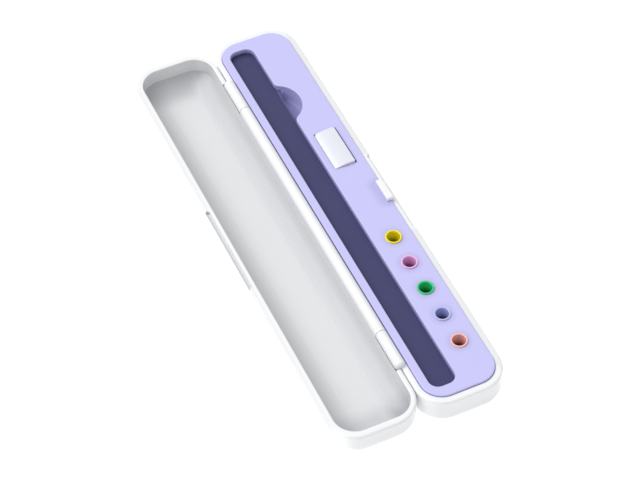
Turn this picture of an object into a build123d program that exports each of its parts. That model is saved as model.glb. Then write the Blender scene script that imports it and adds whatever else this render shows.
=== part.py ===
from build123d import *
import os

# Travel case that stores and sanitises a toothbrush: two shallow shells hinged along one long edge.
# The base holds a deck with a lit brush channel, a key, a catch and a row of small round sockets.
# X runs across the case with the hinge axis at X = 0: the base is at +X and the open lid at -X.
# Y runs along the case and Z is up. The case lies open on Z = 0. All sizes are in millimetres.

os.makedirs("parts", exist_ok=True)

# Shells
case_length = 210.0
half_width = 36.8  # hinge axis to the outer long wall of each shell
shell_height = 13.0
wall = 3.0
floor_thickness = 2.0
corner_radius = 12.0
base_edge_radius = 4.0
lid_edge_radius = 6.5
lid_wall_depth = 7.0  # upright part of the lid's inner wall
lid_slope_run = 9.0  # from the upright wall to the flat of the floor
lid_floor_radius = 5.0
rim_outer_radius = 1.0
rim_inner_radius = 0.4
shell_gap = 0.3  # between the two open shells
rim_gap = 0.2  # between the two rims when the case is closed
ledge = 0.9  # step inside the base that the deck sits on

# Hinge
knuckle_radius = 2.3
knuckle_span = 165.0
centre_knuckle = 129.0
knuckle_gap = 0.3
knuckle_clearance = 0.25
knuckle_side_gap = 0.3  # knuckles to the hollow beside them
knuckle_dome = 1.7
pin_radius = 0.75
pin_length = 28.0
pin_in_lid = 12.0
running_clearance = 0.05
seat_clearance = 0.01
select_band = 0.01  # half width of the band that picks out edges or corners at a place

# Deck, brush channel and finger scoop
deck_thickness = 1.8
deck_proud = 0.8
deck_clearance = 0.15
edge_round = 0.4
channel_inset = 3.4
channel_width = 10.95
channel_length = 194.0
channel_depth = 2.8
channel_radius = 4.0
scoop_y = 61.5
scoop_reach = 6.8
scoop_radius = 11.0
scoop_depth = 7.3
scoop_wall = 0.9
scoop_sill = 0.6  # low wall between the window and the scoop
scoop_shoulder = 3.0
scoop_corner = 1.5
scoop_fillet = 1.2
window_thickness = 1.2
window_lap = 1.0
window_clearance = 0.1
trough_wall = 1.0
clip_length = 6.0
clip_thickness = 1.0
clip_drop = 3.2
clip_bead = 0.5
clip_clearance = 0.2
front_clip_places = (62.0, -52.0)

# Sockets
socket_names = ("yellow", "pink", "green", "blue", "coral")
socket_inset = 8.25  # rim's inner edge to the sockets' line
socket_first_y = -23.9
socket_pitch = 14.25
socket_bore_radius = 2.7
socket_bore_depth = 9.4
socket_wall = 0.4
socket_floor = 1.0
socket_rim = 0.7
socket_rim_height = 0.6
socket_round = 0.2
socket_seat_clearance = 0.05

# Power key
key_length = 20.9
key_width = 9.1
key_inset = 2.95  # channel's edge to the key
key_y = 28.95
key_crown = 1.1
key_crown_inset = 4.5  # key's channel side to its crown
key_lip = 0.1  # height of the hinged edge above the deck
key_edge = 1.2  # height of the pressed edge above the deck
key_near_corner = 0.5
key_far_corner = 1.4
key_round = 0.35
key_skirt = 1.2
key_clearance = 0.15
key_slit = 0.82
key_hub_radius = 1.2
key_pivot_inset = 1.35
key_pivot_drop = 2.6
key_pin_radius = 0.55
key_frame = 1.2
key_frame_drop = 1.8
key_stem_radius = 1.5
key_stem_inset = 5.45
switch_gap = 0.25

# Catch
latch_y = -0.7
latch_length = 11.0
latch_shoulder = 1.0  # its cap past the stem at each end
latch_sole_gap = 0.15  # its cap to the deck
latch_hook_height = 1.45
latch_hook_reach = 0.6  # how far the hook passes the lid's inner wall
latch_hook_width = 2.8
latch_wall_gap = 0.3
latch_stem = 0.9
latch_round = 0.45
latch_travel = 0.85
latch_clearance = 0.3
latch_slot_clearance = 0.1
latch_lip = 0.7
latch_lip_clearance = 0.25
latch_pocket_clearance = 0.2
latch_pivot_z = 5.0
latch_hub_radius = 1.4
latch_pin_radius = 0.6
latch_ear = 2.0
spring_thickness = 0.3
spring_width = 8.0
spring_gap = 0.05
spring_hub_gap = 0.25
spring_bend_z = 6.6
spring_tip_z = 9.4
spring_rib = 1.0
spring_rib_height = 3.5

# Thumb notch in both rims
notch_length = 44.0
notch_width = 1.55
notch_depth = 1.5
notch_end_radius = 1.4

# Boards, cell and wiring
board_seat = 4.0  # base floor to the boards' undersides
board_thickness = 1.0
led_board_width = 8.0
led_board_length = 170.0
led_size = 3.5
led_height = 1.6
led_chamfer = 0.4
led_count = 8
led_pitch = 22.0
led_rib_length = 5.0
led_screw_pitch = 66.0
main_board_width = 12.5
main_board_length = 32.0
main_board_gap = 2.9  # between the two boards
main_screw_inset = 2.0
boss_radius = 1.8
screw_radius = 0.75
screw_length = 4.0
screw_head_radius = 1.4
screw_head_height = 0.8
screw_head_round = 0.4
screw_clearance = 0.03
switch_size = 6.0
switch_height = 3.1
switch_corner = 0.5
plunger_radius = 1.7
plunger_height = 0.7
sensor_size = 3.0
sensor_height = 1.1
sensor_chamfer = 0.25
sensor_inset = 2.2
sensor_offset = 8.5  # from the key's middle along the case
magnet_radius = 2.0
magnet_thickness = 1.5
magnet_drop = 3.8
cell_width = 14.0
cell_length = 22.0
cell_height = 6.0
cell_corner = 1.0
cell_round = 0.75
cell_start = 74.5
cell_gap = 1.5  # between the LED board and the cell
pad_thickness = 0.5
pad_inset = 3.0
port_width = 8.94
port_height = 3.26
port_corner = 1.55
port_length = 7.35
port_wall = 0.3
port_recess = 0.5
port_clearance = 0.1
port_depth = 6.2
port_tongue_width = 6.7
port_tongue = 0.7
port_board_width = 11.0
port_board_length = 9.0
port_board_gap = 0.2
wire_radius = 0.45
wire_pitch = 2.4
wire_tail = 1.6
battery_wire_pitch = 1.5
battery_wire_inset = 4.725  # control board's front edge to the middle of the pair
led_leads_offset = 8.0  # from the key's middle along the case
lead_radius = 0.6
lead_bend = 3.0
lead_turn_y = 39.0
lead_end_y = 35.4

# Places worked out from the sizes above
half_length = case_length / 2
open_near = knuckle_radius + knuckle_side_gap
open_far = half_width - wall
open_half = half_length - wall
open_radius = corner_radius - wall
lid_near = knuckle_radius
hinge_z = shell_height + rim_gap / 2
lid_step = shell_height - lid_wall_depth
wall_step = shell_height - (deck_thickness - deck_proud)
knuckle_end = knuckle_span / 2
knuckle_split = centre_knuckle / 2
deck_top = shell_height + deck_proud
deck_under = deck_top - deck_thickness
deck_near = open_near + deck_clearance
deck_far = open_far - deck_clearance
deck_half = open_half - deck_clearance
channel_near = deck_near + channel_inset
channel_far = channel_near + channel_width
channel_x = (channel_near + channel_far) / 2
window_top = deck_top - channel_depth
window_under = window_top - window_thickness
window_grow = window_lap + window_clearance
trough_grow = window_grow + trough_wall
scoop_x = channel_far + scoop_reach - scoop_radius
socket_x = open_far - socket_inset
socket_outer = socket_bore_radius + socket_wall
key_near = channel_far + key_inset
key_far = key_near + key_width
pivot_x = key_near + key_pivot_inset
pivot_z = deck_top - key_pivot_drop
latch_outer = open_far + latch_hook_reach
latch_inner = latch_outer - latch_hook_width
latch_front = open_far - latch_wall_gap
latch_back = latch_front - latch_stem
latch_stem_length = latch_length - 2 * latch_shoulder
lip_top = shell_height + rim_gap + latch_lip
hook_under = lip_top + latch_lip_clearance
latch_top = hook_under + latch_hook_height
latch_pivot_x = latch_front - latch_hub_radius
board_under = floor_thickness + board_seat
board_top = board_under + board_thickness
led_board_far = channel_x + led_board_width / 2
main_near = led_board_far + main_board_gap
main_far = main_near + main_board_width
main_x = (main_near + main_far) / 2
cell_near = led_board_far + cell_gap
battery_wire_x = main_far - battery_wire_inset
cell_under = floor_thickness + pad_thickness
sensor_y = key_y + sensor_offset
port_board_under = board_under - 2 * lead_radius - board_thickness
port_board_top = port_board_under + board_thickness
port_z = port_board_top + port_height / 2
port_end = half_length - port_recess
ledge_near = open_near + ledge
ledge_far = open_far - ledge
ledge_half = open_half - ledge
ledge_radius = open_radius - ledge
end_clip_x = ledge_far - ledge_radius - clip_length / 2
main_screws = [
    (x, key_y + side * (main_board_length / 2 - main_screw_inset))
    for x in (main_near + main_screw_inset, main_far - main_screw_inset)
    for side in (-1, 1)
]
led_screws = [(channel_x, step * led_screw_pitch) for step in (-1, 0, 1)]


def rounded(near, far, half, radius):
    """A rounded rectangle in the open sketch, between two X places and plus or minus a half length."""
    with Locations(((near + far) / 2, 0)):
        RectangleRounded(far - near, 2 * half, radius)


def at_height(z):
    """The horizontal plane at height z."""
    return Plane.XY.offset(z)


def save(piece, label):
    """Label a finished piece and write it as its own file."""
    piece.label = label
    export_step(piece, "parts/" + label + ".step")


def outward(place, direction):
    """A vertical plane at a place, whose sketch has its first axis pointing outward and its second one up."""
    return Plane(place, x_dir=direction, z_dir=Vector(direction).cross(Vector(0, 0, 1)))


# Where the deck clips onto the base: two places on the front wall and one at each end
clip_planes = [outward((ledge_far, y, deck_under), (1, 0, 0)) for y in front_clip_places]
clip_planes += [outward((end_clip_x, side * ledge_half, deck_under), (0, side, 0)) for side in (-1, 1)]


def knuckle_plane(side, y):
    """The plane of a hinge knuckle's round section at a distance y from the middle, facing outward."""
    return Plane((0, side * y, hinge_z), x_dir=(1, 0, 0), z_dir=(0, side, 0))


# One short knuckle with a domed outer end, moulded on the base at each end of the hinge
with BuildPart() as end_knuckle:
    with BuildSketch(knuckle_plane(1, knuckle_split + knuckle_gap)):
        Circle(knuckle_radius)
    extrude(amount=knuckle_end - knuckle_split - knuckle_gap)
    fillet(end_knuckle.edges().group_by(Axis.Y)[-1], radius=knuckle_dome)


# ---- base shell: a shallow tub with a ledge for the deck ----
with BuildPart() as base_shell:
    with BuildSketch(at_height(0)):
        rounded(shell_gap / 2, half_width, half_length, corner_radius)
    extrude(amount=shell_height)
    fillet(base_shell.faces().sort_by(Axis.Z)[0].edges(), radius=base_edge_radius)
    fillet(base_shell.faces().sort_by(Axis.Z)[-1].edges(), radius=rim_outer_radius)
    with BuildSketch(at_height(wall_step)):
        rounded(open_near, open_far, open_half, open_radius)
    extrude(amount=shell_height - wall_step, mode=Mode.SUBTRACT)
    rim = base_shell.faces().sort_by(Axis.Z)[-1]
    fillet(rim.inner_wires()[0].edges(), radius=rim_inner_radius)
    with BuildSketch(at_height(floor_thickness)):
        rounded(ledge_near, ledge_far, ledge_half, ledge_radius)
    extrude(amount=wall_step - floor_thickness, mode=Mode.SUBTRACT)

    # Thumb notch in the rim's outer edge
    with BuildSketch(at_height(shell_height - notch_depth)):
        with Locations((half_width, latch_y)):
            RectangleRounded(2 * notch_width, notch_length, notch_end_radius)
    extrude(amount=notch_depth, mode=Mode.SUBTRACT)

    # Room for the lid's long knuckle, then the two end knuckles and their blind pin bores
    with BuildSketch(outward((0, 0, 0), (1, 0, 0))):
        with Locations((0, hinge_z)):
            Circle(knuckle_radius + knuckle_clearance)
        with Locations((0, wall_step)):
            Rectangle(open_near, hinge_z - wall_step, align=(Align.MIN, Align.MIN))
    extrude(amount=knuckle_split + knuckle_gap, both=True, mode=Mode.SUBTRACT)
    add(end_knuckle.part)
    add(mirror(end_knuckle.part, about=Plane.XZ, mode=Mode.PRIVATE))
    for side in (-1, 1):
        with BuildSketch(knuckle_plane(side, knuckle_split)):
            Circle(pin_radius + seat_clearance)
        extrude(amount=pin_length - pin_in_lid + seat_clearance, mode=Mode.SUBTRACT)

    # Ribs under the LED board and the port board, and bosses under the control board
    with BuildSketch(at_height(floor_thickness)):
        with Locations(*led_screws):
            Rectangle(led_board_width, led_rib_length)
    extrude(amount=board_seat)
    with BuildSketch(at_height(floor_thickness)):
        with Locations(*main_screws):
            Circle(boss_radius)
    extrude(amount=board_seat)
    with BuildSketch(at_height(board_under)):
        with Locations(*led_screws, *main_screws):
            Circle(screw_radius + screw_clearance)
    extrude(amount=-(screw_length - board_thickness + screw_clearance), mode=Mode.SUBTRACT)
    with BuildSketch(at_height(floor_thickness)):
        with Locations((channel_x, ledge_half - port_board_gap - port_board_length / 2)):
            Rectangle(port_board_width, port_board_length)
    extrude(amount=port_board_under - floor_thickness)

    # Opening for the port in the far end wall
    with BuildSketch(outward((channel_x, half_length, port_z), (-1, 0, 0))):
        RectangleRounded(
            port_width + 2 * port_clearance,
            port_height + 2 * port_clearance,
            port_corner + port_clearance,
        )
    extrude(amount=-(port_recess + port_length), mode=Mode.SUBTRACT)

    # Bay, ears and pin bore for the catch, with the rib that holds its leaf
    with BuildSketch(at_height(floor_thickness)):
        with Locations((ledge_far - ledge, latch_y)):
            Rectangle(2 * ledge, latch_length + 2 * latch_clearance, align=(Align.MIN, Align.CENTER))
    extrude(amount=wall_step - floor_thickness, mode=Mode.SUBTRACT)
    with BuildSketch(at_height(floor_thickness)):
        with Locations(
            (latch_pivot_x - latch_hub_radius, latch_y + latch_length / 2 + latch_clearance + latch_ear / 2),
            (latch_pivot_x - latch_hub_radius, latch_y - latch_length / 2 - latch_clearance - latch_ear / 2),
        ):
            Rectangle(open_far - latch_pivot_x + latch_hub_radius, latch_ear, align=(Align.MIN, Align.CENTER))
    extrude(amount=latch_pivot_z + latch_hub_radius - floor_thickness)
    with BuildSketch(outward((0, latch_y, 0), (1, 0, 0))):
        with Locations((latch_pivot_x, latch_pivot_z)):
            Circle(latch_pin_radius + seat_clearance)
    extrude(amount=latch_length / 2 + latch_clearance + latch_ear, both=True, mode=Mode.SUBTRACT)
    with BuildSketch(at_height(floor_thickness)):
        with Locations((latch_pivot_x - latch_hub_radius - spring_hub_gap - spring_thickness, latch_y)):
            Rectangle(spring_rib, spring_width, align=(Align.MAX, Align.CENTER))
    extrude(amount=spring_rib_height)

    # Pockets in the ledge for the deck's clips
    for plane in clip_planes:
        with BuildSketch(plane):
            with Locations((0, -clip_drop - clip_clearance)):
                Rectangle(
                    clip_bead,
                    2 * clip_bead + 2 * clip_clearance,
                    align=(Align.MIN, Align.MIN),
                )
        extrude(amount=clip_length / 2 + clip_clearance, both=True, mode=Mode.SUBTRACT)
save(base_shell.part, "base_shell")


# The finger scoop's hollow: an arc bulging from the channel's side with blended shoulders. It goes deeper
# than the channel, with a round foot, past a low sill that closes it off from the window.
with BuildPart() as scoop:
    with BuildSketch(at_height(deck_top - scoop_depth)) as scoop_floor:
        with Locations((scoop_x, scoop_y)):
            Circle(scoop_radius)
        with Locations((channel_far + window_clearance + scoop_sill, scoop_y)):
            Rectangle(
                2 * scoop_radius,
                4 * scoop_radius,
                align=(Align.MIN, Align.CENTER),
                mode=Mode.INTERSECT,
            )
        fillet(scoop_floor.vertices(), radius=scoop_corner)
    extrude(amount=scoop_depth)
    fillet(scoop.faces().sort_by(Axis.Z)[0].edges(), radius=scoop_fillet)
    with BuildSketch(at_height(window_top)) as scoop_mouth:
        with Locations((scoop_x, scoop_y)):
            Circle(scoop_radius)
        with Locations((channel_x, scoop_y)):
            Rectangle(
                2 * scoop_radius,
                4 * scoop_radius,
                align=(Align.MIN, Align.CENTER),
                mode=Mode.INTERSECT,
            )
        with Locations((channel_far, scoop_y)):
            Rectangle(channel_width / 2, 4 * scoop_radius, align=(Align.MAX, Align.CENTER))
        corners = scoop_mouth.vertices().filter_by_position(
            Axis.X, channel_far - select_band, channel_far + select_band
        )
        fillet(corners.sort_by(Axis.Y)[1:-1], radius=scoop_shoulder)
    extrude(amount=channel_depth)


# ---- deck: a plate with the brush channel's trough, the finger scoop and the key's frame ----
with BuildPart() as deck_tray:
    with BuildSketch(at_height(deck_under)):
        rounded(deck_near, deck_far, deck_half, open_radius - deck_clearance)
    extrude(amount=deck_thickness)
    with BuildSketch(at_height(window_under)):
        rounded(
            channel_near - trough_grow,
            channel_far + trough_grow,
            channel_length / 2 + trough_grow,
            channel_radius + trough_grow,
        )
    extrude(amount=deck_under - window_under)
    with BuildSketch(at_height(deck_top - scoop_depth - scoop_wall)):
        with Locations((scoop_x, scoop_y)):
            Circle(scoop_radius + scoop_wall)
        with Locations((channel_far + window_clearance, scoop_y)):
            Rectangle(
                2 * scoop_radius,
                4 * scoop_radius,
                align=(Align.MIN, Align.CENTER),
                mode=Mode.INTERSECT,
            )
    extrude(amount=scoop_depth + scoop_wall - deck_thickness)
    with BuildSketch(at_height(deck_under - key_frame_drop)):
        with Locations(((key_near - key_clearance + key_far + key_slit) / 2, key_y)):
            Rectangle(
                key_width + key_clearance + key_slit + 2 * key_frame,
                key_length + 2 * (key_clearance + key_frame),
            )
    extrude(amount=key_frame_drop)

    # The channel goes right through, and the window's seat widens it from below
    with BuildSketch(at_height(window_under)):
        rounded(
            channel_near - window_grow,
            channel_far + window_grow,
            channel_length / 2 + window_grow,
            channel_radius + window_grow,
        )
        with Locations((channel_far + window_clearance, scoop_y)):
            Rectangle(
                window_grow,
                2 * (scoop_radius + scoop_wall),
                align=(Align.MIN, Align.CENTER),
                mode=Mode.SUBTRACT,
            )
    extrude(amount=window_thickness, mode=Mode.SUBTRACT)
    with BuildSketch(at_height(window_top)):
        rounded(channel_near, channel_far, channel_length / 2, channel_radius)
    extrude(amount=channel_depth, mode=Mode.SUBTRACT)
    add(scoop.part, mode=Mode.SUBTRACT)
    fillet(deck_tray.edges().group_by(Axis.Z)[-1], radius=edge_round)

    # Seats for the sockets, the window around the key with its pin bore, and the notch for the catch
    with BuildSketch(at_height(deck_under)):
        with Locations(*[(socket_x, socket_first_y - i * socket_pitch) for i in range(len(socket_names))]):
            Circle(socket_outer + socket_seat_clearance)
    extrude(amount=deck_thickness, mode=Mode.SUBTRACT)
    with BuildSketch(at_height(deck_under - key_frame_drop)) as key_opening:
        with Locations(((key_near - key_clearance + key_far + key_slit) / 2, key_y)):
            Rectangle(key_width + key_clearance + key_slit, key_length + 2 * key_clearance)
        corner_pairs = key_opening.vertices().group_by(Axis.Y)
        fillet(corner_pairs[0], radius=key_near_corner + key_clearance)
        fillet(corner_pairs[-1], radius=key_far_corner + key_clearance)
    extrude(amount=key_frame_drop + deck_thickness, mode=Mode.SUBTRACT)
    with BuildSketch(outward((pivot_x, key_y, pivot_z), (1, 0, 0))):
        Circle(key_pin_radius + seat_clearance)
    extrude(amount=key_length / 2 + key_clearance + key_frame, both=True, mode=Mode.SUBTRACT)
    with BuildSketch(at_height(deck_under)):
        with Locations((latch_back - latch_travel - latch_slot_clearance, latch_y)):
            Rectangle(
                half_width,
                latch_stem_length + 2 * latch_clearance,
                align=(Align.MIN, Align.CENTER),
            )
    extrude(amount=deck_thickness, mode=Mode.SUBTRACT)

    # Clips that snap under the base's ledge
    for plane in clip_planes:
        with BuildSketch(plane):
            with BuildLine():
                Polyline(
                    (-clip_clearance - clip_thickness, 0),
                    (-clip_clearance, 0),
                    (-clip_clearance, 2 * clip_bead - clip_drop),
                    (clip_bead - clip_clearance, clip_bead - clip_drop),
                    (-clip_clearance, -clip_drop),
                    (-clip_clearance - clip_thickness, -clip_drop),
                    close=True,
                )
            make_face()
        extrude(amount=clip_length / 2, both=True)
save(deck_tray.part, "deck_tray")


# ---- window: the dark floor of the channel, clipped into the trough ----
with BuildPart() as channel_window:
    with BuildSketch(at_height(window_under)):
        rounded(
            channel_near - window_lap,
            channel_far + window_lap,
            channel_length / 2 + window_lap,
            channel_radius + window_lap,
        )
        with Locations((channel_far, scoop_y)):
            Rectangle(
                window_lap,
                2 * (scoop_radius + scoop_wall + window_clearance),
                align=(Align.MIN, Align.CENTER),
                mode=Mode.SUBTRACT,
            )
    extrude(amount=window_thickness)
save(channel_window.part, "channel_window")


# ---- sockets: round cups that hang by their rims in the deck ----
for i, name in enumerate(socket_names):
    with BuildPart() as socket:
        with BuildSketch(Plane((socket_x, socket_first_y - i * socket_pitch, deck_top), z_dir=(0, 0, 1))):
            Circle(socket_bore_radius + socket_rim)
        extrude(amount=socket_rim_height)
        fillet(socket.edges().group_by(Axis.Z)[-1], radius=socket_round)
        with BuildSketch(Plane((socket_x, socket_first_y - i * socket_pitch, deck_top), z_dir=(0, 0, 1))):
            Circle(socket_outer)
        extrude(amount=-(socket_bore_depth + socket_floor - socket_rim_height))
        with BuildSketch(
            Plane(
                (socket_x, socket_first_y - i * socket_pitch, deck_top + socket_rim_height),
                z_dir=(0, 0, 1),
            )
        ):
            Circle(socket_bore_radius)
        extrude(amount=-socket_bore_depth, mode=Mode.SUBTRACT)
        mouth = socket.edges().filter_by(GeomType.CIRCLE).group_by(Axis.Z)[-1].sort_by(SortBy.RADIUS)[0]
        fillet(mouth, radius=socket_round)
    save(socket.part, "socket_" + name)


# ---- power key: an arched cap on a pin, pressed down along its far edge ----
with BuildPart() as power_key:
    with BuildSketch(outward((0, key_y, 0), (1, 0, 0))):
        with BuildLine():
            crown = ThreePointArc(
                (key_near, deck_top + key_lip),
                (key_near + key_crown_inset, deck_top + key_crown),
                (key_far, deck_top + key_edge),
            )
            Polyline(
                crown @ 1,
                (key_far, deck_top - key_skirt),
                (key_near, deck_top - key_skirt),
                crown @ 0,
            )
        make_face()
    extrude(amount=key_length / 2, both=True)
    fillet(power_key.edges().filter_by(Axis.Z).group_by(Axis.Y)[0], radius=key_near_corner)
    fillet(power_key.edges().filter_by(Axis.Z).group_by(Axis.Y)[-1], radius=key_far_corner)
    with BuildSketch(outward((0, key_y, 0), (1, 0, 0))):
        with Locations((pivot_x, pivot_z)):
            Circle(key_hub_radius)
        with Locations((pivot_x, pivot_z)):
            Rectangle(
                2 * key_hub_radius,
                deck_top - key_skirt - pivot_z,
                align=(Align.CENTER, Align.MIN),
            )
    extrude(amount=key_length / 2, both=True)
    with BuildSketch(outward((0, key_y, 0), (1, 0, 0))):
        with Locations((pivot_x, pivot_z)):
            Circle(key_pin_radius + running_clearance)
    extrude(amount=key_length / 2, both=True, mode=Mode.SUBTRACT)
    with BuildSketch(Plane((key_near + key_stem_inset, key_y, deck_top - key_skirt), z_dir=(0, 0, 1))):
        Circle(key_stem_radius)
    extrude(amount=-(deck_top - key_skirt - board_top - switch_height - plunger_height - switch_gap))
    cap_edges = power_key.edges().filter_by(lambda e: e.center().Z > deck_top + key_round)
    fillet(cap_edges.group_by(Axis.Y)[0] + cap_edges.group_by(Axis.Y)[-1], radius=key_round)
save(power_key.part, "power_key")

with BuildPart() as key_pin:
    with BuildSketch(outward((0, key_y, 0), (1, 0, 0))):
        with Locations((pivot_x, pivot_z)):
            Circle(key_pin_radius)
    extrude(amount=key_length / 2 + key_clearance + key_frame, both=True)
save(key_pin.part, "key_pin")


# ---- catch: a rocking tongue with a hook that snaps over the lid's lip ----
with BuildPart() as latch_catch:
    with BuildSketch(outward((0, latch_y, 0), (1, 0, 0))):
        with Locations((latch_inner, deck_top + latch_sole_gap)):
            Rectangle(
                latch_front - latch_inner,
                latch_top - deck_top - latch_sole_gap,
                align=(Align.MIN, Align.MIN),
            )
        with Locations((latch_front, hook_under)):
            Rectangle(latch_outer - latch_front, latch_hook_height, align=(Align.MIN, Align.MIN))
    extrude(amount=latch_length / 2, both=True)
    fillet(latch_catch.faces().sort_by(Axis.Z)[-1].edges(), radius=latch_round)
    with BuildSketch(outward((0, latch_y, 0), (1, 0, 0))):
        with Locations((latch_back, latch_pivot_z)):
            Rectangle(latch_stem, hook_under - latch_pivot_z, align=(Align.MIN, Align.MIN))
    extrude(amount=latch_stem_length / 2, both=True)
    with BuildSketch(outward((0, latch_y, 0), (1, 0, 0))):
        with Locations((latch_pivot_x, latch_pivot_z)):
            Circle(latch_hub_radius)
    extrude(amount=latch_length / 2, both=True)
    with BuildSketch(outward((0, latch_y, 0), (1, 0, 0))):
        with Locations((latch_pivot_x, latch_pivot_z)):
            Circle(latch_pin_radius + running_clearance)
    extrude(amount=latch_length / 2, both=True, mode=Mode.SUBTRACT)
save(latch_catch.part, "latch_catch")

with BuildPart() as latch_pin:
    with BuildSketch(outward((0, latch_y, 0), (1, 0, 0))):
        with Locations((latch_pivot_x, latch_pivot_z)):
            Circle(latch_pin_radius)
    extrude(amount=latch_length / 2 + latch_clearance + latch_ear, both=True)
save(latch_pin.part, "latch_pin")

# The leaf stands against its rib, clears the hub and leans on the tongue's back
leaf_x = latch_pivot_x - latch_hub_radius - spring_hub_gap - spring_thickness
leaf_tip_x = latch_back - spring_gap - spring_thickness
with BuildPart() as latch_spring:
    with BuildSketch(outward((0, latch_y, 0), (1, 0, 0))):
        with BuildLine():
            Polyline(
                (leaf_x, floor_thickness),
                (leaf_x, spring_bend_z),
                (leaf_tip_x, spring_tip_z),
                (leaf_tip_x + spring_thickness, spring_tip_z),
                (leaf_x + spring_thickness, spring_bend_z),
                (leaf_x + spring_thickness, floor_thickness),
                close=True,
            )
        make_face()
    extrude(amount=spring_width / 2, both=True)
save(latch_spring.part, "latch_spring")


# The lower part of the lid's hollow: a shallow bowl that keeps the wall even behind the soft outer edge
with BuildPart() as lid_bowl:
    for share in (0, 0.5, 1):
        inset = lid_slope_run * share
        with BuildSketch(at_height(lid_step - (lid_step - floor_thickness) * share * (2 - share))):
            rounded(
                -open_far + inset,
                -lid_near - inset,
                open_half - inset,
                open_radius - (open_radius - lid_floor_radius) * share,
            )
    loft()


# ---- lid shell: a deeper hollow with a soft outer edge, lying open on its back ----
with BuildPart() as lid_shell:
    with BuildSketch(at_height(0)):
        rounded(-half_width, -shell_gap / 2, half_length, corner_radius)
    extrude(amount=shell_height)
    fillet(lid_shell.faces().sort_by(Axis.Z)[0].edges(), radius=lid_edge_radius)
    fillet(lid_shell.faces().sort_by(Axis.Z)[-1].edges(), radius=rim_outer_radius)
    with BuildSketch(at_height(lid_step)):
        rounded(-open_far, -lid_near, open_half, open_radius)
    extrude(amount=shell_height - lid_step, mode=Mode.SUBTRACT)
    rim = lid_shell.faces().sort_by(Axis.Z)[-1]
    fillet(rim.inner_wires()[0].edges(), radius=rim_inner_radius)
    add(lid_bowl.part, mode=Mode.SUBTRACT)

    # Thumb notch in the rim's outer edge
    with BuildSketch(at_height(shell_height - notch_depth)):
        with Locations((-half_width, latch_y)):
            RectangleRounded(2 * notch_width, notch_length, notch_end_radius)
    extrude(amount=notch_depth, mode=Mode.SUBTRACT)

    # Room for the base's short knuckles, then the long knuckle and its blind pin bores
    for side in (-1, 1):
        with BuildSketch(Plane((0, side * knuckle_split, 0), x_dir=(1, 0, 0), z_dir=(0, side, 0))):
            with Locations((0, -side * hinge_z)):
                Circle(knuckle_radius + knuckle_clearance)
            with Locations((-lid_near / 2, -side * (hinge_z + wall_step) / 2)):
                Rectangle(lid_near, hinge_z - wall_step)
        extrude(amount=knuckle_end - knuckle_split + knuckle_gap, mode=Mode.SUBTRACT)
    with BuildSketch(outward((0, 0, 0), (1, 0, 0))):
        with Locations((0, hinge_z)):
            Circle(knuckle_radius)
    extrude(amount=knuckle_split, both=True)
    for side in (-1, 1):
        with BuildSketch(knuckle_plane(side, knuckle_split)):
            Circle(pin_radius + running_clearance)
        extrude(amount=-(pin_in_lid + running_clearance), mode=Mode.SUBTRACT)

    # Pocket that leaves a lip for the catch's hook, and the magnet's seat
    with BuildSketch(outward((-open_far, latch_y, 2 * hinge_z), (-1, 0, 0))):
        with Locations((0, -latch_top - latch_clearance)):
            Rectangle(
                latch_hook_reach + latch_pocket_clearance,
                latch_top + latch_clearance - lip_top,
                align=(Align.MIN, Align.MIN),
            )
    extrude(amount=latch_length / 2 + latch_clearance, both=True, mode=Mode.SUBTRACT)
    with BuildSketch(Plane((-open_far, sensor_y, shell_height - magnet_drop), z_dir=(-1, 0, 0))):
        Circle(magnet_radius + seat_clearance)
    extrude(amount=magnet_thickness, mode=Mode.SUBTRACT)
save(lid_shell.part, "lid_shell")

with BuildPart() as lid_magnet:
    with BuildSketch(Plane((-open_far, sensor_y, shell_height - magnet_drop), z_dir=(-1, 0, 0))):
        Circle(magnet_radius)
    extrude(amount=magnet_thickness)
save(lid_magnet.part, "lid_magnet")

# Two short steel pins, one across each split of the hinge
with BuildPart() as hinge_pins:
    for side in (-1, 1):
        with BuildSketch(knuckle_plane(side, knuckle_split - pin_in_lid)):
            Circle(pin_radius)
        extrude(amount=pin_length)
save(hinge_pins.part, "hinge_pins")


# ---- LED strip under the window ----
with BuildPart() as led_board:
    with BuildSketch(at_height(board_under)):
        with Locations((channel_x, 0)):
            Rectangle(led_board_width, led_board_length)
        with Locations(*led_screws):
            Circle(screw_radius + screw_clearance, mode=Mode.SUBTRACT)
    extrude(amount=board_thickness)
save(led_board.part, "led_board")

with BuildPart() as uv_leds:
    with BuildSketch(at_height(board_top)):
        with Locations((channel_x, 0)):
            with GridLocations(0, led_pitch, 1, led_count):
                Rectangle(led_size, led_size)
    extrude(amount=led_height)
    chamfer(uv_leds.faces().group_by(Axis.Z)[-1].edges(), length=led_chamfer)
save(uv_leds.part, "uv_leds")


# ---- control board with the key's switch and the lid sensor ----
with BuildPart() as main_board:
    with BuildSketch(at_height(board_under)):
        with Locations((main_x, key_y)):
            Rectangle(main_board_width, main_board_length)
        with Locations(*main_screws):
            Circle(screw_radius + screw_clearance, mode=Mode.SUBTRACT)
    extrude(amount=board_thickness)
save(main_board.part, "main_board")

with BuildPart() as key_switch:
    with BuildSketch(at_height(board_top)):
        with Locations((key_near + key_stem_inset, key_y)):
            RectangleRounded(switch_size, switch_size, switch_corner)
    extrude(amount=switch_height)
    with BuildSketch(at_height(board_top + switch_height)):
        with Locations((key_near + key_stem_inset, key_y)):
            Circle(plunger_radius)
    extrude(amount=plunger_height)
save(key_switch.part, "key_switch")

with BuildPart() as hall_sensor:
    with BuildSketch(at_height(board_top)):
        with Locations((main_far - sensor_inset, sensor_y)):
            Rectangle(sensor_size, sensor_size)
    extrude(amount=sensor_height)
    chamfer(hall_sensor.faces().sort_by(Axis.Z)[-1].edges(), length=sensor_chamfer)
save(hall_sensor.part, "hall_sensor")

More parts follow.
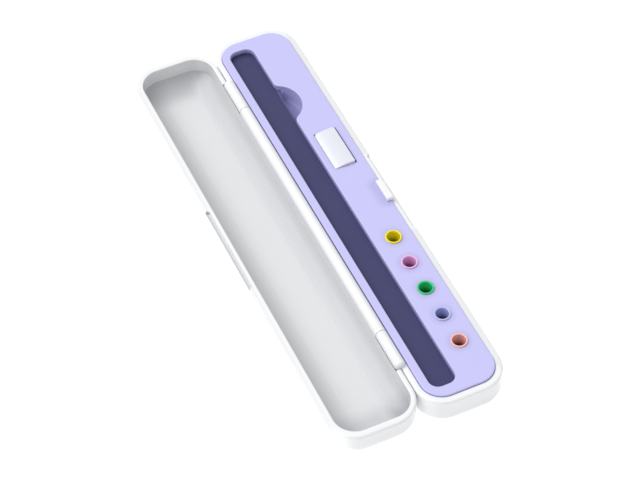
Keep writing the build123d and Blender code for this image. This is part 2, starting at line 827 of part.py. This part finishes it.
with BuildPart() as board_screws:
    with BuildSketch(at_height(board_top)):
        with Locations(*led_screws, *main_screws):
            Circle(screw_head_radius)
    extrude(amount=screw_head_height)
    fillet(board_screws.faces().group_by(Axis.Z)[-1].edges(), radius=screw_head_round)
    with BuildSketch(at_height(board_top)):
        with Locations(*led_screws, *main_screws):
            Circle(screw_radius)
    extrude(amount=-screw_length)
save(board_screws.part, "board_screws")


# ---- rechargeable cell on its foam tape ----
with BuildPart() as battery_cell:
    with BuildSketch(at_height(cell_under)):
        with Locations((cell_near + cell_width / 2, cell_start + cell_length / 2)):
            RectangleRounded(cell_width, cell_length, cell_corner)
    extrude(amount=cell_height)
    fillet(battery_cell.faces().filter_by(Axis.Z).edges(), radius=cell_round)
save(battery_cell.part, "battery_cell")

with BuildPart() as battery_pad:
    with BuildSketch(at_height(floor_thickness)):
        with Locations((cell_near + cell_width / 2, cell_start + cell_length / 2)):
            Rectangle(cell_width - 2 * pad_inset, cell_length - 2 * pad_inset)
    extrude(amount=pad_thickness)
save(battery_pad.part, "battery_pad")


# ---- charging port on its small board at the far end ----
with BuildPart() as port_board:
    with BuildSketch(at_height(port_board_under)):
        rounded(
            ledge_near + port_board_gap,
            ledge_far - port_board_gap,
            ledge_half - port_board_gap,
            ledge_radius - port_board_gap,
        )
        with Locations((channel_x, ledge_half - port_board_gap - port_board_length / 2)):
            Rectangle(port_board_width, port_board_length, mode=Mode.INTERSECT)
    extrude(amount=board_thickness)
save(port_board.part, "port_board")

with BuildPart() as usb_port:
    with BuildSketch(outward((channel_x, port_end, port_z), (-1, 0, 0))):
        RectangleRounded(port_width, port_height, port_corner)
    extrude(amount=-port_length)
    with BuildSketch(outward((channel_x, port_end, port_z), (-1, 0, 0))):
        RectangleRounded(
            port_width - 2 * port_wall,
            port_height - 2 * port_wall,
            port_corner - port_wall,
        )
        Rectangle(port_tongue_width, port_tongue, mode=Mode.SUBTRACT)
    extrude(amount=-port_depth, mode=Mode.SUBTRACT)
save(usb_port.part, "usb_port")


# ---- insulated wires ----
with BuildPart() as battery_leads:
    for side in (-1, 1):
        start = key_y + main_board_length / 2 - wire_tail
        wire_x = battery_wire_x + side * battery_wire_pitch / 2
        with BuildSketch(Plane((wire_x, start, board_top + wire_radius), z_dir=(0, 1, 0))):
            Circle(wire_radius)
        extrude(amount=cell_start - start)
save(battery_leads.part, "battery_leads")

led_leads_y = key_y - led_leads_offset
with BuildPart() as led_leads:
    for side in (-1, 1):
        start = led_board_far - wire_tail
        with BuildSketch(
            Plane((start, led_leads_y + side * wire_pitch / 2, board_top + wire_radius), z_dir=(1, 0, 0))
        ):
            Circle(wire_radius)
        extrude(amount=main_near + wire_tail - start)
save(led_leads.part, "led_leads")

lead_x = (led_board_far + cell_near) / 2
lead_z = port_board_top + lead_radius
lead_start_y = ledge_half - port_board_gap - port_board_length + wire_tail
with BuildPart() as port_lead:
    with BuildLine() as lead_path:
        FilletPolyline(
            (lead_x, lead_start_y, lead_z),
            (lead_x, lead_turn_y, lead_z),
            (main_near + wire_tail, lead_end_y, lead_z),
            radius=lead_bend,
        )
    with BuildSketch(Plane((lead_x, lead_start_y, lead_z), z_dir=(0, -1, 0))):
        Circle(lead_radius)
    sweep(path=lead_path.line)
save(port_lead.part, "port_lead")
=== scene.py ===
import math

import bmesh
import bpy
from mathutils import Matrix, Vector


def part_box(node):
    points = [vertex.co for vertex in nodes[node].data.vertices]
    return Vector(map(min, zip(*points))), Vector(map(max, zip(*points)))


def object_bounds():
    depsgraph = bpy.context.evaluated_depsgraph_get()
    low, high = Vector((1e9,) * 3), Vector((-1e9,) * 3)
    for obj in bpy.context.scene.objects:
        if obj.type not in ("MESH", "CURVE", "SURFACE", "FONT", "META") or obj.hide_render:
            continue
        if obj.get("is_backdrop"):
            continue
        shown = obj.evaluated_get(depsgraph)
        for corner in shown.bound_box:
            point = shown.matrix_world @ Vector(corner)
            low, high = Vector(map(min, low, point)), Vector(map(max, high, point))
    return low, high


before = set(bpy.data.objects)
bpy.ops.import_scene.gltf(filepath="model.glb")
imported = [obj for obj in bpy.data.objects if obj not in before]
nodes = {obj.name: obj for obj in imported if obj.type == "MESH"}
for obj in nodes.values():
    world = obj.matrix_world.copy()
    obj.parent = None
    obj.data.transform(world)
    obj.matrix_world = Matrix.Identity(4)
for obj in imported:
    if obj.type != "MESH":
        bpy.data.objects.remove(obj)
cad_low, cad_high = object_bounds()


# ---- Base shell ----
# The lower half of the case is one white ABS moulding with a fine satin grain and a faint gloss.
# It carries the two short end knuckles of the hinge, the deck's ledge and the charging port's opening.
class Socket:
    """One output of a shader node, on which ordinary arithmetic adds the nodes that work it out."""

    def __init__(self, tree, output):
        self.tree = tree
        self.output = output

    def node(self, kind, settings, values, out=0):
        """Add a node: its settings first, then a value or a link for each socket, by number or name."""
        added = self.tree.nodes.new(kind)
        for name, value in settings.items():
            setattr(added, name, value)
        for key, value in values.items():
            if isinstance(value, Socket):
                self.tree.links.new(value.output, added.inputs[key])
            else:
                added.inputs[key].default_value = value
        return Socket(self.tree, added.outputs[out])

    def math(self, operation, other=0.0, swap=False):
        first, second = (other, self) if swap else (self, other)
        return self.node("ShaderNodeMath", {"operation": operation}, {0: first, 1: second})

    def __add__(self, other):
        return self.math("ADD", other)

    __radd__ = __add__

    def __sub__(self, other):
        return self.math("SUBTRACT", other)

    def __rsub__(self, other):
        return self.math("SUBTRACT", other, swap=True)

    def __mul__(self, other):
        return self.math("MULTIPLY", other)

    __rmul__ = __mul__

    def clamp(self):
        return self.node("ShaderNodeClamp", {}, {"Value": self})

    def noise(self, scale, detail=2.0, rough=0.5):
        values = {"Vector": self, "Scale": scale, "Detail": detail, "Roughness": rough}
        return self.node("ShaderNodeTexNoise", {}, values)

    def tint(self, colour_from, colour_to):
        """Blend two plain colours, or sockets, by this mask. A mix keeps its colours in sockets 6 and 7."""
        first, second = (
            (*colour, 1.0) if isinstance(colour, tuple) else colour for colour in (colour_from, colour_to)
        )
        return self.node("ShaderNodeMix", {"data_type": "RGBA"}, {0: self, 6: first, 7: second}, out=2)

    def vector(self, operation, other=(0.0, 0.0, 0.0), out=0):
        return self.node("ShaderNodeVectorMath", {"operation": operation}, {0: self, 1: other}, out)

    def ramp(self, low, high):
        """0 at one value and 1 at another, with soft ends."""
        values = {"Value": self, "From Min": low, "From Max": high}
        return self.node("ShaderNodeMapRange", {"interpolation_type": "SMOOTHSTEP"}, values)

    def part(self, axis):
        """One of the three numbers of a place."""
        return self.node("ShaderNodeSeparateXYZ", {}, {"Vector": self}, "XYZ".index(axis))

    def outline(self, low, high, radius):
        """Distance outside a rounded rectangle seen from above, less than 0 within it."""
        middle = ((low[0] + high[0]) / 2, (low[1] + high[1]) / 2, 0.0)
        straight = ((high[0] - low[0]) / 2 - radius, (high[1] - low[1]) / 2 - radius, 1.0)
        past = self.vector("SUBTRACT", middle).vector("ABSOLUTE").vector("SUBTRACT", straight)
        return past.vector("MAXIMUM").vector("LENGTH", out=1) - radius

    def bump(self, strength, distance):
        values = {"Height": self, "Strength": strength, "Distance": distance}
        return self.node("ShaderNodeBump", {}, values)


def linear(red, green, blue):
    """A colour given as a screen shows it, in parts of 255, turned to the amounts of light it stands for."""
    shown = [part / 255 for part in (red, green, blue)]
    return tuple(part / 12.92 if part <= 0.04045 else ((part + 0.055) / 1.055) ** 2.4 for part in shown)


def finish(name, **constants):
    """A new material: its shader, and its object coordinates to build the pattern on."""
    material = bpy.data.materials.new(name)
    material.use_nodes = True
    tree = material.node_tree
    shader = tree.nodes["Principled BSDF"]
    for socket, value in constants.items():
        shader.inputs[socket.replace("_", " ")].default_value = value
    coordinates = tree.nodes.new("ShaderNodeTexCoord")
    return material, shader, Socket(tree, coordinates.outputs["Object"])


def feed(shader, **sockets):
    """Link each pattern to the shader's socket of that name."""
    for name, value in sockets.items():
        shader.id_data.links.new(value.output, shader.inputs[name.replace("_", " ")])


def dress(node, material):
    """Give a carried-over node its material."""
    mesh = nodes[node].data
    mesh.materials.clear()
    mesh.materials.append(material)


def moulded(name, light, dark, rough=0.36, shade=None, **constants):
    """Injection-moulded plastic: a faint mottle in the colour, a fine satin grain and soft sink marks.
    shade, if given, works out from the coordinates how far each place turns to a second, darker colour of
    painted shade."""
    material, shader, place = finish(name, **constants)
    mottle = place.noise(60.0, 3.0, 0.55)
    spark = place.noise(2600.0, 2.0, 0.6)
    sink = place.noise(28.0, 1.0)
    scuff = place.noise(420.0, 6.0, 0.75)
    colour = mottle.tint(light, dark)
    if shade:
        amount, deep = shade(place)
        colour = amount.tint(colour, deep)
    feed(
        shader,
        Base_Color=colour,
        Roughness=(rough + (scuff - 0.5) * 0.16 + (mottle - 0.5) * 0.08).clamp(),
        Normal=(spark * 0.5 + sink * 1.5).bump(0.18, 0.00004),
    )
    return material


near_face = cad_low.y + 0.0005
near_face_reach = 0.005
face_top, face_top_fade = 0.0122, 0.013
near_face_shade = 0.8
groove_left, groove_right = 0.0022, 0.0029
groove_top = 0.0127
groove_end = 0.096
groove_fade = 0.0002
rim_inner = cad_high.x - 0.003
right_rim_shade = 0.36
notch_middle, notch_half = -0.0007, 0.022


def near_end(place):
    """Painted shade: the faces of the near end stand away from the light and are painted greyer."""
    facing = place.part("Y").ramp(near_face + near_face_reach, near_face)
    return facing * place.part("Z").ramp(face_top_fade, face_top)


def base_shade(place):
    """Painted shade: a crisp dark painted shadow line in the groove between the hinge's barrel and the deck,
    and near and right faces painted greyer.
    """
    across, along, height = place.part("X"), place.part("Y"), place.part("Z")
    groove = across.ramp(groove_left, groove_left + groove_fade)
    groove = groove * across.ramp(groove_right, groove_right - groove_fade)
    groove = groove * height.ramp(groove_top, groove_top - 0.0003)
    groove = groove * along.math("ABSOLUTE").ramp(groove_end, groove_end - 0.0005)
    past_notch = (along - notch_middle).math("ABSOLUTE").ramp(notch_half, notch_half + 0.0004)
    right_rim = across.ramp(rim_inner - 0.0001, rim_inner + 0.0003) * past_notch
    grey = (near_end(place) * near_face_shade + right_rim * right_rim_shade).clamp()
    return (groove + grey).clamp(), groove.tint(linear(206, 208, 209), linear(34, 33, 46))


# The base's white colour carries painted shade: a dark painted shadow in the hinge's groove, and greyer
# painted shade on the near end and the right rim.
white_light, white_dark = linear(234, 235, 236), linear(231, 232, 234)
white_plastic = moulded(
    "white_abs", white_light, white_dark, shade=base_shade, Coat_Weight=0.12, Coat_Roughness=0.22
)
dress("base_shell", white_plastic)


# ---- Deck ----
# The lavender tray that closes the base is a thin moulding with a soft matt grain.
# It snaps under the base's ledge and carries the channel, the scoop, the key and the sockets.
deck_low, deck_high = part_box("deck_tray")
# Painted shade: below the deck's top the channel, the scoop and its sill are painted darker, and painted
# shadows lie round the raised pieces.
channel_inset, channel_width = 0.0034, 0.01095
channel_far = deck_low.x + channel_inset + channel_width
channel_wall_top, channel_wall_foot = 0.0004, 0.0034
scoop_shade, scoop_floor_shade = 0.16, 0.55
scoop_foot, scoop_floor = 0.0062, 0.0072
sill_top, sill_foot, sill_fade = 0.0025, 0.0031, 0.0002
sill_near, sill_far = 0.0014, 0.0026
# Each raised piece, how far its painted shadow reaches and how strong it is.
raised = [("socket_" + name, 0.0028, 0.13) for name in ("yellow", "pink", "green", "blue", "coral")]
raised += [("power_key", 0.0025, 0.1), ("latch_catch", 0.0045, 0.22)]


def below_deck(place):
    """Painted shade: the channel's walls are painted a deeper purple with depth, the scoop's floor too, and
    its sill nearly as dark as the window.
    Soft painted shadows lie on the deck round the cups, the key and the catch."""
    depth = deck_high.z - place.part("Z")
    across = place.part("X")
    scooped = across.ramp(channel_far + 0.0001, channel_far + 0.0009)
    channel = depth.ramp(channel_wall_top, channel_wall_foot)
    scoop = scoop_shade + depth.ramp(scoop_foot, scoop_floor) * scoop_floor_shade
    amount = (channel * (1.0 - scooped) + scoop * scooped) * depth.ramp(0.0, 0.0003)
    # Painted shade: the sill's strip is painted nearly as dark as the window.
    sill = depth.ramp(sill_top, sill_top + sill_fade) * depth.ramp(sill_foot, sill_foot - sill_fade)
    sill = sill * across.ramp(channel_far + sill_far, channel_far + sill_near)
    amount = amount + sill
    for node, reach, strength in raised:
        low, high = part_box(node)
        corner = min(high.x - low.x, high.y - low.y) / 2.5
        beside = place.outline((low.x, low.y), (high.x, high.y), corner)
        amount = amount + beside.ramp(reach, 0.0) * depth.ramp(0.0005, 0.0002) * strength
    return amount.clamp(), sill.tint(linear(96, 94, 140), linear(84, 83, 127))


lavender = moulded(
    "lavender_abs",
    linear(192, 190, 235),
    linear(189, 187, 233),
    rough=0.46,
    shade=below_deck,
    Coat_Weight=0.05,
    Coat_Roughness=0.3,
)
dress("deck_tray", lavender)


# ---- Window ----
# The channel's floor is a strip of smoked acrylic with a soft polish and a faint inner haze.
# The ultraviolet lights shine through it, and the brush lies on it.
smoked, shader, place = finish(
    "smoked_acrylic", Specular_IOR_Level=0.25, Coat_Weight=0.05, Coat_Roughness=0.12
)
haze = place.noise(35.0, 2.0)
dust = place.noise(900.0, 3.0, 0.7)
feed(
    shader,
    Base_Color=haze.tint(linear(65, 65, 105), linear(62, 62, 101)),
    Roughness=(0.3 + (dust - 0.5) * 0.2).clamp(),
    Normal=place.noise(22.0, 1.0).bump(0.1, 0.00005),
)
dress("channel_window", smoked)


# ---- Sockets ----
# Five small cups in glossy coloured plastic hang by their rims in the deck, one colour for each user.
# Each holds the round handle of a small brush. Its bore is painted a lighter copy of the rim's colour, as
# painted light, and its floor and wall are painted darker with depth, as painted shade.
# Each cup's rim colour, then the lighter copy painted into its bore as painted light.
cup_colours = {
    "yellow": (linear(232, 217, 14), linear(248, 234, 30)),
    "pink": (linear(226, 174, 220), linear(242, 186, 236)),
    "green": (linear(46, 190, 116), linear(56, 218, 140)),
    "blue": (linear(178, 184, 230), linear(186, 192, 242)),
    "coral": (linear(234, 184, 179), linear(249, 192, 188)),
}
cup_bore = 0.0027
wall_shade_from, wall_shade_to = 0.003, 0.0078
shade_share = 0.15
for name, (rim_colour, colour) in cup_colours.items():
    node = "socket_" + name
    low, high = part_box(node)
    cup, shader, place = finish(name + "_cup_plastic", Coat_Weight=0.5, Coat_Roughness=0.08)
    depth = high.z - place.part("Z")
    middle = ((low.x + high.x) / 2, (low.y + high.y) / 2)
    away = place.outline(middle, middle, 0.0)
    bored = away.ramp(cup_bore + 0.00025, cup_bore + 0.00005)
    swirl = place.noise(240.0, 3.0)
    dark = tuple(part * shade_share for part in colour)
    # Painted shade: the bore's wall darkens towards its floor, with a little random swirl.
    deep = (depth.ramp(wall_shade_from, wall_shade_to) + (swirl - 0.5) * 0.12).clamp()
    wall = deep.tint(colour, dark)
    feed(
        shader,
        Base_Color=bored.tint(rim_colour, wall),
        Roughness=(0.26 + (swirl - 0.5) * 0.18).clamp(),
        Normal=place.noise(1800.0, 2.0).bump(0.12, 0.00003),
    )
    dress(node, cup)


# ---- Key and catch ----
# The arched power key is a pearly white moulded cap that rocks on a steel pin.
# The catch is a sprung tongue, moulded in the shell's own white plastic.
pearl = moulded(
    "pearl_white",
    linear(219, 220, 230),
    linear(215, 217, 227),
    rough=0.3,
    Coat_Weight=0.3,
    Coat_Roughness=0.15,
)
dress("power_key", pearl)
dress("latch_catch", white_plastic)


# ---- Lid shell ----
# The upper half is the same white moulding, deeper inside and softly rounded outside.
# Its long knuckle turns on the two steel pins. Its inner face is painted greyer as shade, and its notch,
# outer face and near end carry a little painted shade too.
lid_low, lid_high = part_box("lid_shell")
lid_wall = 0.003
hollow_low = (lid_low.x + lid_wall, lid_low.y + lid_wall)
hollow_high = (-0.0023, lid_high.y - lid_wall)
hollow_radius = 0.009
hollow_bottom, hollow_top = 0.0012, 0.0129
slope_top, slope_fade = 0.0066, 0.0008
hollow_grey, left_grey, slope_grey, near_grey = 0.26, 0.11, 0.38, 0.28
notch_wall = lid_low.x + 0.00155
notch_grey, notch_end_grey = 0.34, 0.3
outer_grey, end_grey = 0.32, 0.3


def inside_lid(place):
    """Painted shade: greyer inside the lid's hollow, and most on the bowl's slopes by the hinge and at both
    ends.
    Outside, the notch, the outer face and the near end are painted a little greyer as shade too."""
    edge = place.outline(hollow_low, hollow_high, hollow_radius)
    across, along, height = place.part("X"), place.part("Y"), place.part("Z")
    within = edge.ramp(0.0003, -0.0001) * height.ramp(hollow_bottom, hollow_bottom + 0.0006)
    within = within * height.ramp(hollow_top, hollow_top - 0.0007)
    left = across.ramp(hollow_low[0] + 0.014, hollow_low[0] + 0.003)
    sloping = height.ramp(slope_top, slope_top - slope_fade)
    hinge = across.ramp(-0.0125, -0.0065) * sloping
    far = along.ramp(hollow_high[1] - 0.016, hollow_high[1] - 0.005) * sloping
    near = along.ramp(hollow_low[1] + 0.0175, hollow_low[1] + 0.007)
    far_wall = along.ramp(hollow_high[1] - 0.005, hollow_high[1] - 0.002) * (1.0 - sloping)
    slopes = hinge.math("MAXIMUM", far * 0.8)
    inside = hollow_grey * (1.0 - far_wall) + left * left_grey + slopes * slope_grey + near * near_grey
    from_notch = (along - notch_middle).math("ABSOLUTE")
    notch = across.ramp(notch_wall + 0.0001, notch_wall) * from_notch.ramp(notch_half, notch_half - 0.0002)
    notch = notch * height.ramp(0.0112, 0.0116) * height.ramp(0.0131, 0.0118)
    notch_end = along.ramp(notch_half - 0.0025, notch_half - 0.001)
    notch = notch * (notch_grey + notch_end * notch_end_grey)
    outer_face = across.ramp(lid_low.x + 0.0016, lid_low.x + 0.0003) * outer_grey
    outside = outer_face.math("MAXIMUM", near_end(place) * end_grey) + notch
    return within * inside + outside * (1.0 - within), linear(150, 151, 156)


lid_plastic = moulded(
    "white_abs_lid",
    white_light,
    white_dark,
    shade=inside_lid,
    Coat_Weight=0.12,
    Coat_Roughness=0.22,
)
dress("lid_shell", lid_plastic)


# ---- Pins, leaf, screws and magnet ----
# The hinge, the key and the catch turn on drawn steel pins, and a thin spring leaf leans on the catch.
# These, the boards' screws and the port's shell are bright steel with fine drawing lines.
# The magnet is plated with nickel and sits in the lid.
steel, shader, place = finish("drawn_steel", Metallic=1.0)
drawn = place.node("ShaderNodeMapping", {}, {"Vector": place, "Scale": (900.0, 40.0, 900.0)})
lines = drawn.noise(6.0, 4.0, 0.6)
feed(
    shader,
    Base_Color=lines.tint(linear(196, 198, 202), linear(168, 170, 176)),
    Roughness=(0.22 + lines * 0.2).clamp(),
    Normal=lines.bump(0.15, 0.00003),
)
nickel, shader, place = finish("nickel_plate", Metallic=1.0)
cloud = place.noise(700.0, 3.0)
feed(
    shader,
    Base_Color=cloud.tint(linear(214, 208, 196), linear(190, 184, 172)),
    Roughness=(0.16 + cloud * 0.14).clamp(),
    Normal=cloud.bump(0.08, 0.00002),
)
for node in ("hinge_pins", "key_pin", "latch_pin", "latch_spring", "board_screws", "usb_port"):
    dress(node, steel)
dress("lid_magnet", nickel)


# ---- Boards ----
# Three glass-fibre boards carry the lights, the switch and the port.
# Their green solder mask shows a woven ground and copper tracks as slightly raised, lighter bands.
mask, shader, place = finish("solder_mask", Coat_Weight=0.4, Coat_Roughness=0.12)
weave = place.node("ShaderNodeTexChecker", {}, {"Vector": place, "Scale": 2400.0}, out=1)
track_layout = {
    "Vector": place,
    "Scale": 240.0,
    "Mortar Size": 0.05,
    "Mortar Smooth": 0.2,
    "Brick Width": 1.7,
    "Row Height": 0.4,
}
tracks = place.node("ShaderNodeTexBrick", {"offset": 0.37, "squash": 0.6}, track_layout, out=1)
feed(
    shader,
    Base_Color=(tracks * 0.8 + weave * 0.08).clamp().tint(linear(22, 92, 52), linear(52, 140, 84)),
    Roughness=(0.34 + weave * 0.05).clamp(),
    Normal=(tracks * 0.8 + weave * 0.1).bump(0.3, 0.00004),
)
for node in ("led_board", "main_board", "port_board"):
    dress(node, mask)


# ---- Lights, switch and sensor ----
# The lights are small packages of fired, slightly warm ceramic, soldered along the strip under the window.
# The switch and the lid's sensor are black moulded packages.
ceramic, shader, place = finish("light_ceramic", Coat_Weight=0.6, Coat_Roughness=0.05)
fired = place.noise(1500.0, 4.0, 0.6)
feed(
    shader,
    Base_Color=fired.tint(linear(240, 236, 220), linear(222, 214, 190)),
    Roughness=(0.2 + fired * 0.2).clamp(),
    Normal=fired.bump(0.1, 0.00002),
)
dress("uv_leds", ceramic)
black = moulded("black_package", linear(38, 38, 40), linear(28, 28, 30), rough=0.5)
dress("key_switch", black)
dress("hall_sensor", black)


# ---- Cell, tape and wires ----
# The flat cell is wrapped in laminated foil with soft creases, and rests on a strip of foam tape.
# Wires covered in red silicone join the cell, the lights and the port to the main board.
foil, shader, place = finish("cell_foil", Metallic=0.85)
crease = place.node(
    "ShaderNodeTexVoronoi", {"feature": "DISTANCE_TO_EDGE"}, {"Vector": place, "Scale": 120.0}
)
# Painted sheen: this noise makes lighter and darker blotches in the foil's colour, and also varies its
# roughness and bumps.
painted_sheen_and_ripple = place.noise(160.0, 4.0, 0.6)
feed(
    shader,
    Base_Color=painted_sheen_and_ripple.tint(linear(196, 198, 202), linear(172, 174, 180)),
    Roughness=(0.26 + painted_sheen_and_ripple * 0.2).clamp(),
    Normal=(crease * 0.6 + painted_sheen_and_ripple * 0.4).bump(0.35, 0.0002),
)
dress("battery_cell", foil)
foam, shader, place = finish("foam_tape")
cells = place.node("ShaderNodeTexVoronoi", {}, {"Vector": place, "Scale": 1600.0})
feed(
    shader,
    Base_Color=cells.tint(linear(52, 52, 56), linear(34, 34, 38)),
    Roughness=(0.8 + cells * 0.15).clamp(),
    Normal=cells.bump(0.5, 0.0002),
)
dress("battery_pad", foam)
silicone, shader, place = finish("red_silicone", Coat_Weight=0.15, Coat_Roughness=0.3)
skin = place.noise(900.0, 3.0)
feed(
    shader,
    Base_Color=skin.tint(linear(188, 40, 36), linear(160, 28, 28)),
    Roughness=(0.42 + skin * 0.15).clamp(),
    Normal=skin.bump(0.15, 0.00004),
)
for node in ("battery_leads", "led_leads", "port_lead"):
    dress(node, silicone)


# ---- Studio ----
# The case lies on a plain white sweep that gives off a little light of its own, under a white sky.
# One wide soft sun shines down from the hinge's side and the far end.
# The camera looks down along the case from its near end.
sweep_half = 6.0
sweep_drop = 0.0002
sweep_glow = 0.5
sweep_mesh = bpy.data.meshes.new("studio_floor")
sweep = bmesh.new()
bmesh.ops.create_grid(sweep, x_segments=1, y_segments=1, size=sweep_half)
bmesh.ops.translate(sweep, verts=sweep.verts, vec=(0.0, 0.0, cad_low.z - sweep_drop))
sweep.to_mesh(sweep_mesh)
sweep.free()
studio_floor = bpy.data.objects.new("studio_floor", sweep_mesh)
bpy.context.scene.collection.objects.link(studio_floor)
paper, shader, place = finish(
    "studio_paper", Roughness=0.9, Emission_Color=(1.0, 1.0, 1.0, 1.0), Emission_Strength=sweep_glow
)
feed(shader, Base_Color=place.noise(3.0, 1.0).tint(linear(255, 255, 255), linear(254, 254, 254)))
sweep_mesh.materials.append(paper)
studio_floor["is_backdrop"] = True

world = bpy.data.worlds.new("studio")
bpy.context.scene.world = world
world.use_nodes = True
sky = world.node_tree.nodes["Background"]
sky.inputs["Color"].default_value = (1.0, 1.0, 1.0, 1.0)
sky.inputs["Strength"].default_value = 0.66

diffuser_light = bpy.data.lights.new("key_diffuser", "SUN")
diffuser_light.energy = 2.0
diffuser_light.angle = math.radians(50)
diffuser = bpy.data.objects.new("key_diffuser", diffuser_light)
bpy.context.scene.collection.objects.link(diffuser)
diffuser.rotation_euler = Vector((-0.5, 0.4, 0.9)).to_track_quat("Z", "Y").to_euler()

azimuth = math.radians(-24.834)
elevation = math.radians(50.71)
roll = math.radians(-0.393)
distance = 0.900264
aim = Vector((-0.001555, -0.012631, 0.0138))
sensor_width = 36.0
focal_length = 126.9
back = Vector(
    (math.sin(azimuth) * math.cos(elevation), -math.cos(azimuth) * math.cos(elevation), math.sin(elevation))
)
right = Vector((math.cos(azimuth), math.sin(azimuth), 0))
up = back.cross(right)
turned_right = math.cos(roll) * right + math.sin(roll) * up
turned_up = math.cos(roll) * up - math.sin(roll) * right
camera_data = bpy.data.cameras.new("camera")
camera_data.sensor_width = sensor_width
camera_data.lens = focal_length
camera = bpy.data.objects.new("camera", camera_data)
bpy.context.scene.collection.objects.link(camera)
turn = Matrix((turned_right, turned_up, back)).transposed().to_4x4()
camera.matrix_world = Matrix.Translation(aim + back * distance) @ turn
bpy.context.scene.camera = camera
bpy.context.scene.view_settings.view_transform = "Standard"

low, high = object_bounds()
